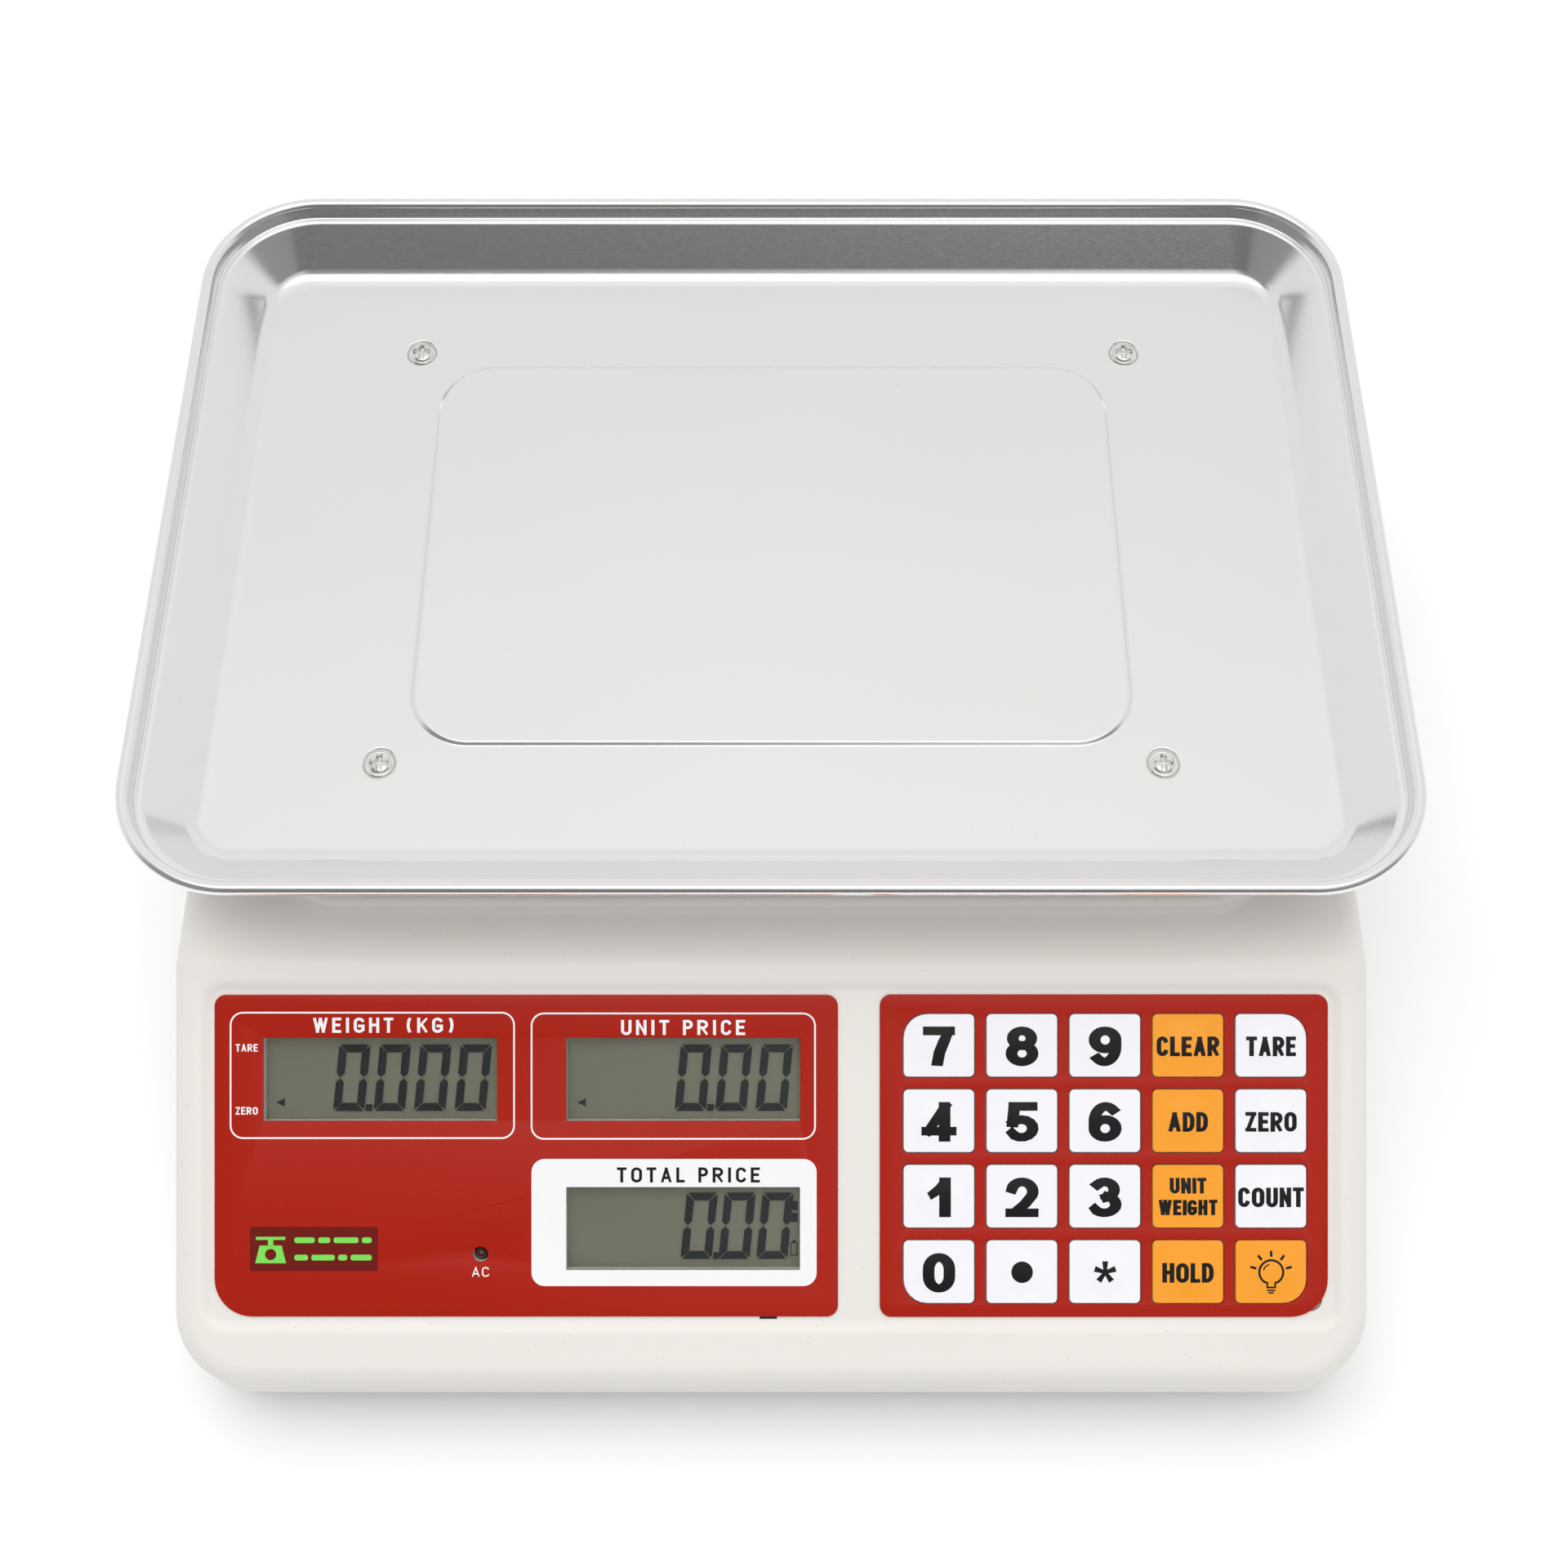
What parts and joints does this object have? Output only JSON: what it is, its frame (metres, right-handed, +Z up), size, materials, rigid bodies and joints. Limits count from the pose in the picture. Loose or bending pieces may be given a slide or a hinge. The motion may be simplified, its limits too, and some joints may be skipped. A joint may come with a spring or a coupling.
{
  "type": "retail price scale",
  "caption": "Counter price scale: stainless tray over a sloping white housing with liquid crystal displays, a membrane keypad, a load cell and levelling feet.",
  "frame": {"origin": "centre of the scale's footprint, on the surface its feet stand on", "axes": "+Z up, +X to the right as the seller faces the keypad, +Y to the back, towards the customer"},
  "size_m": [0.34, 0.3362, 0.115],
  "materials": {
    "cover_plastic": "moulded warm white ABS, soft sheen",
    "base_plastic": "moulded warm white ABS, fine texture",
    "red_film": "printed polycarbonate film",
    "black_tape": "tape",
    "clear_film": "printed polyester circuit",
    "circuit_board": "solder mask",
    "lcd_glass": "reflective liquid crystal module",
    "lamp_lens": "tinted lens",
    "plate_steel": "zinc plated",
    "fastener_steel": "zinc plated",
    "screw_chrome": "bright nickel",
    "pan_steel": "satin stainless",
    "cell_aluminium": "milled",
    "bracket_aluminium": "die cast",
    "core_steel": "varnished laminations",
    "battery_case": "moulded case",
    "black_plastic": "moulded",
    "pin_brass": "nickel plated",
    "foot_rubber": "moulded",
    "white_key": "printed film",
    "orange_key": "printed film"
  },
  "bodies": {
    "housing": {"upper_housing": "cover_plastic", "lower_housing": "base_plastic", "housing_screws": "fastener_steel", "display_overlay": "red_film", "overlay_tab": "black_tape", "keypad_overlay": "red_film", "keypad_circuit": "clear_film", "display_board": "circuit_board", "lcd_weight": "lcd_glass", "lcd_unit_price": "lcd_glass", "lcd_total_price": "lcd_glass", "power_led": "lamp_lens", "base_plate": "plate_steel", "cell_bolts_lower": "fastener_steel", "load_cell": "cell_aluminium", "overload_stops": "fastener_steel", "battery": "battery_case", "transformer": "core_steel", "power_board": "circuit_board", "power_inlet": "black_plastic", "inlet_pins": "pin_brass", "switch_frame": "black_plastic", "rear_overlay": "red_film", "rear_lcds": "lcd_glass", "rear_display_board": "circuit_board"},
    "load_bracket": {"spider": "bracket_aluminium", "cell_bolts_upper": "fastener_steel"},
    "pan": {"weighing_pan": "pan_steel", "pan_screws": "screw_chrome", "pan_legs": "black_plastic"},
    "power_rocker": {"switch_rocker": "black_plastic"},
    "battery_cover": {"battery_door": "base_plastic"},
    "foot_front_left": {"foot_stud_front_left": "fastener_steel", "foot_pad_front_left": "foot_rubber"},
    "foot_front_right": {"foot_stud_front_right": "fastener_steel", "foot_pad_front_right": "foot_rubber"},
    "foot_rear_left": {"foot_stud_rear_left": "fastener_steel", "foot_pad_rear_left": "foot_rubber"},
    "foot_rear_right": {"foot_stud_rear_right": "fastener_steel", "foot_pad_rear_right": "foot_rubber"},
    "key_7": {"key_7": "white_key"},
    "key_8": {"key_8": "white_key"},
    "key_9": {"key_9": "white_key"},
    "key_clear": {"key_clear": "orange_key"},
    "key_tare": {"key_tare": "white_key"},
    "key_4": {"key_4": "white_key"},
    "key_5": {"key_5": "white_key"},
    "key_6": {"key_6": "white_key"},
    "key_add": {"key_add": "orange_key"},
    "key_zero": {"key_zero": "white_key"},
    "key_1": {"key_1": "white_key"},
    "key_2": {"key_2": "white_key"},
    "key_3": {"key_3": "white_key"},
    "key_unit_weight": {"key_unit_weight": "orange_key"},
    "key_count": {"key_count": "white_key"},
    "key_0": {"key_0": "white_key"},
    "key_point": {"key_point": "white_key"},
    "key_star": {"key_star": "white_key"},
    "key_hold": {"key_hold": "orange_key"},
    "key_light": {"key_light": "orange_key"}
  },
  "joints": [
    {"name": "load_deflection", "type": "slide", "parent": "housing", "child": "load_bracket", "axis": [0, 0, -1], "range_m": [0, 0.0008], "stiffness_N_per_m": 100000, "springref_m": -0.0003, "deforming": ["load_cell"]},
    {"name": "pan_lift", "type": "slide", "parent": "load_bracket", "child": "pan", "axis": [0, 0, 1], "range_m": [0, 0.06]},
    {"name": "power_switch", "type": "hinge", "parent": "housing", "child": "power_rocker", "pos_m": [0.1564, 0.06506, 0.042], "axis": [0, 0, 1], "range_deg": [0, 20]},
    {"name": "battery_door_slide", "type": "slide", "parent": "housing", "child": "battery_cover", "axis": [0, 1, 0], "range_m": [0, 0.04]},
    {"name": "foot_front_left_screw", "type": "slide", "parent": "housing", "child": "foot_front_left", "axis": [0, 0, -1], "range_m": [0, 0.006]},
    {"name": "foot_front_right_screw", "type": "slide", "parent": "housing", "child": "foot_front_right", "axis": [0, 0, -1], "range_m": [0, 0.006]},
    {"name": "foot_rear_left_screw", "type": "slide", "parent": "housing", "child": "foot_rear_left", "axis": [0, 0, -1], "range_m": [0, 0.006]},
    {"name": "foot_rear_right_screw", "type": "slide", "parent": "housing", "child": "foot_rear_right", "axis": [0, 0, -1], "range_m": [0, 0.006]},
    {"name": "key_7_press", "type": "slide", "parent": "housing", "child": "key_7", "axis": [0, 0.4431, -0.8965], "range_m": [0, 0.0005], "stiffness_N_per_m": 1200, "springref_m": -0.0004},
    {"name": "key_8_press", "type": "slide", "parent": "housing", "child": "key_8", "axis": [0, 0.4431, -0.8965], "range_m": [0, 0.0005], "stiffness_N_per_m": 1200, "springref_m": -0.0004},
    {"name": "key_9_press", "type": "slide", "parent": "housing", "child": "key_9", "axis": [0, 0.4431, -0.8965], "range_m": [0, 0.0005], "stiffness_N_per_m": 1200, "springref_m": -0.0004},
    {"name": "key_clear_press", "type": "slide", "parent": "housing", "child": "key_clear", "axis": [0, 0.4431, -0.8965], "range_m": [0, 0.0005], "stiffness_N_per_m": 1200, "springref_m": -0.0004},
    {"name": "key_tare_press", "type": "slide", "parent": "housing", "child": "key_tare", "axis": [0, 0.4431, -0.8965], "range_m": [0, 0.0005], "stiffness_N_per_m": 1200, "springref_m": -0.0004},
    {"name": "key_4_press", "type": "slide", "parent": "housing", "child": "key_4", "axis": [0, 0.4431, -0.8965], "range_m": [0, 0.0005], "stiffness_N_per_m": 1200, "springref_m": -0.0004},
    {"name": "key_5_press", "type": "slide", "parent": "housing", "child": "key_5", "axis": [0, 0.4431, -0.8965], "range_m": [0, 0.0005], "stiffness_N_per_m": 1200, "springref_m": -0.0004},
    {"name": "key_6_press", "type": "slide", "parent": "housing", "child": "key_6", "axis": [0, 0.4431, -0.8965], "range_m": [0, 0.0005], "stiffness_N_per_m": 1200, "springref_m": -0.0004},
    {"name": "key_add_press", "type": "slide", "parent": "housing", "child": "key_add", "axis": [0, 0.4431, -0.8965], "range_m": [0, 0.0005], "stiffness_N_per_m": 1200, "springref_m": -0.0004},
    {"name": "key_zero_press", "type": "slide", "parent": "housing", "child": "key_zero", "axis": [0, 0.4431, -0.8965], "range_m": [0, 0.0005], "stiffness_N_per_m": 1200, "springref_m": -0.0004},
    {"name": "key_1_press", "type": "slide", "parent": "housing", "child": "key_1", "axis": [0, 0.4431, -0.8965], "range_m": [0, 0.0005], "stiffness_N_per_m": 1200, "springref_m": -0.0004},
    {"name": "key_2_press", "type": "slide", "parent": "housing", "child": "key_2", "axis": [0, 0.4431, -0.8965], "range_m": [0, 0.0005], "stiffness_N_per_m": 1200, "springref_m": -0.0004},
    {"name": "key_3_press", "type": "slide", "parent": "housing", "child": "key_3", "axis": [0, 0.4431, -0.8965], "range_m": [0, 0.0005], "stiffness_N_per_m": 1200, "springref_m": -0.0004},
    {"name": "key_unit_weight_press", "type": "slide", "parent": "housing", "child": "key_unit_weight", "axis": [0, 0.4431, -0.8965], "range_m": [0, 0.0005], "stiffness_N_per_m": 1200, "springref_m": -0.0004},
    {"name": "key_count_press", "type": "slide", "parent": "housing", "child": "key_count", "axis": [0, 0.4431, -0.8965], "range_m": [0, 0.0005], "stiffness_N_per_m": 1200, "springref_m": -0.0004},
    {"name": "key_0_press", "type": "slide", "parent": "housing", "child": "key_0", "axis": [0, 0.4431, -0.8965], "range_m": [0, 0.0005], "stiffness_N_per_m": 1200, "springref_m": -0.0004},
    {"name": "key_point_press", "type": "slide", "parent": "housing", "child": "key_point", "axis": [0, 0.4431, -0.8965], "range_m": [0, 0.0005], "stiffness_N_per_m": 1200, "springref_m": -0.0004},
    {"name": "key_star_press", "type": "slide", "parent": "housing", "child": "key_star", "axis": [0, 0.4431, -0.8965], "range_m": [0, 0.0005], "stiffness_N_per_m": 1200, "springref_m": -0.0004},
    {"name": "key_hold_press", "type": "slide", "parent": "housing", "child": "key_hold", "axis": [0, 0.4431, -0.8965], "range_m": [0, 0.0005], "stiffness_N_per_m": 1200, "springref_m": -0.0004},
    {"name": "key_light_press", "type": "slide", "parent": "housing", "child": "key_light", "axis": [0, 0.4431, -0.8965], "range_m": [0, 0.0005], "stiffness_N_per_m": 1200, "springref_m": -0.0004}
  ]
}
